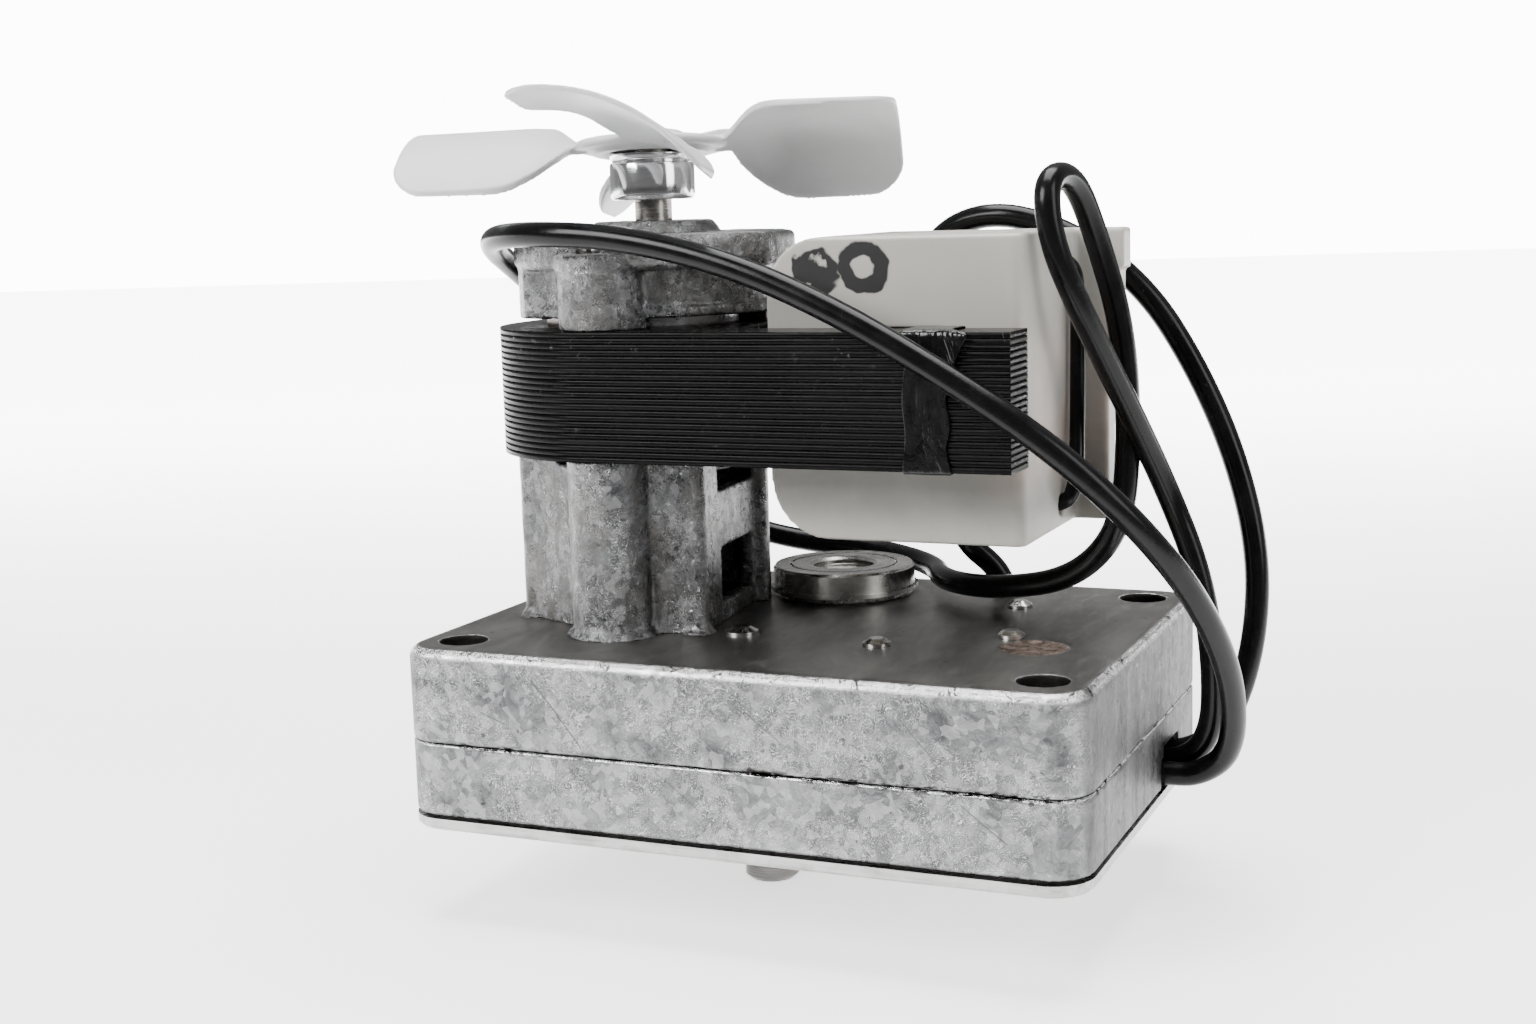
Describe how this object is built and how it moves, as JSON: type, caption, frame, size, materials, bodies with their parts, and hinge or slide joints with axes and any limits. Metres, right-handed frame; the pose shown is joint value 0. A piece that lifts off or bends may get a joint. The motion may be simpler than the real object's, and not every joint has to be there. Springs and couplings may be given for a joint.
{
  "type": "shaded-pole gear motor with cooling fan",
  "caption": "Open-frame shaded-pole motor standing on a flat spur gearbox, with a cooling fan on its shaft and an output stub below.",
  "frame": {"origin": "centre of the gearbox's mounting face, on the underside of the base plate", "axes": "+Z along the motor shaft towards the fan, +X along the gearbox's long side towards the lead window, -Y towards the front"},
  "size_m": [0.0963, 0.0581, 0.0912],
  "materials": {
    "die_cast": "worn die casting",
    "bracket_cast": "rough die casting",
    "plate_steel": "zinc plated",
    "gasket": "pressed fibre",
    "lamination": "black varnish",
    "tape": "glossy film",
    "nylon": "natural nylon",
    "bobbin": "natural nylon",
    "copper": "enamelled copper",
    "rotor_steel": "ground",
    "cage_alu": "cast",
    "shaft_steel": "ground",
    "gear_brass": "hobbed",
    "gear_fibre": "laminated fibre",
    "gear_steel": "hobbed and greased",
    "washer": "nylon washer",
    "washer_steel": "pressed",
    "bronze": "sintered bronze",
    "felt": "oiled felt",
    "screw_steel": "zinc plated",
    "polished_steel": "polished",
    "ring_steel": "ground, stained",
    "pin_steel": "riveted head",
    "fan_plastic": "translucent white",
    "lead_pvc": "black PVC"
  },
  "bodies": {
    "housing": {"gearbox_top_case": "die_cast", "gearbox_lower_case": "die_cast", "base_plate": "plate_steel", "plate_gasket": "gasket", "lower_bracket": "bracket_cast", "upper_bracket": "bracket_cast", "stator_stack": "lamination", "core_bar": "lamination", "tape_strip": "tape", "coil_case": "nylon", "coil_bobbin": "bobbin", "coil_winding": "copper", "shading_rings": "copper", "lower_bearing": "bronze", "upper_bearing": "bronze", "lower_felt_ring": "felt", "lower_bearing_retainer": "washer_steel", "upper_bearing_retainer": "washer_steel", "motor_screws": "screw_steel", "output_bush": "bronze", "cross_shaft_bush": "bronze", "bearing_outer_ring": "ring_steel", "bearing_balls": "polished_steel", "gear_pins": "pin_steel", "gear_spacers": "washer_steel", "lead_a": "lead_pvc", "lead_c": "lead_pvc", "coil_lead": "lead_pvc"},
    "rotor": {"motor_shaft": "shaft_steel", "rotor_core": "rotor_steel", "rotor_cage": "cage_alu", "thrust_washers": "washer", "motor_pinion": "gear_brass", "fan_hub": "polished_steel", "fan": "fan_plastic"},
    "gear_1": {"gear_1": "gear_fibre"},
    "gear_2": {"gear_2": "gear_steel"},
    "gear_3": {"gear_3": "gear_steel"},
    "gear_4": {"gear_4": "gear_steel"},
    "gear_5": {"gear_5": "gear_steel"},
    "cross_shaft": {"gear_6": "gear_steel", "cross_shaft": "shaft_steel", "bearing_inner_ring": "ring_steel"},
    "output": {"output_gear": "gear_steel", "output_shaft": "shaft_steel"}
  },
  "joints": [
    {"name": "motor_spin", "type": "hinge", "parent": "housing", "child": "rotor", "pos_m": [-0.0183, 0, 0], "axis": [0, 0, 1], "continuous": true},
    {"name": "gear_1_spin", "type": "hinge", "parent": "housing", "child": "gear_1", "pos_m": [-0.00455, -0.00956, 0], "axis": [0, 0, 1], "continuous": true},
    {"name": "gear_2_spin", "type": "hinge", "parent": "housing", "child": "gear_2", "pos_m": [0.01188, -0.01111, 0], "axis": [0, 0, 1], "continuous": true},
    {"name": "gear_3_spin", "type": "hinge", "parent": "housing", "child": "gear_3", "pos_m": [0.02441, -0.00333, 0], "axis": [0, 0, 1], "continuous": true},
    {"name": "gear_4_spin", "type": "hinge", "parent": "housing", "child": "gear_4", "pos_m": [0.02078, 0.01225, 0], "axis": [0, 0, 1], "continuous": true},
    {"name": "gear_5_spin", "type": "hinge", "parent": "housing", "child": "gear_5", "pos_m": [0.01052, 0.01449, 0], "axis": [0, 0, 1], "continuous": true},
    {"name": "cross_shaft_spin", "type": "hinge", "parent": "housing", "child": "cross_shaft", "pos_m": [-0.00234, 0.01598, 0], "axis": [0, 0, 1], "continuous": true},
    {"name": "output_spin", "type": "hinge", "parent": "housing", "child": "output", "pos_m": [-0.00582, -0.00005, 0], "axis": [0, 0, 1], "continuous": true}
  ],
  "couplings": [
    {"joint": "gear_1_spin", "follows": "motor_spin", "ratio": -0.21818},
    {"joint": "gear_2_spin", "follows": "motor_spin", "ratio": 0.064171},
    {"joint": "gear_3_spin", "follows": "motor_spin", "ratio": -0.023878},
    {"joint": "gear_4_spin", "follows": "motor_spin", "ratio": 0.010853},
    {"joint": "gear_5_spin", "follows": "motor_spin", "ratio": -0.0056627},
    {"joint": "cross_shaft_spin", "follows": "motor_spin", "ratio": 0.0038609},
    {"joint": "output_spin", "follows": "motor_spin", "ratio": -0.0014157}
  ]
}
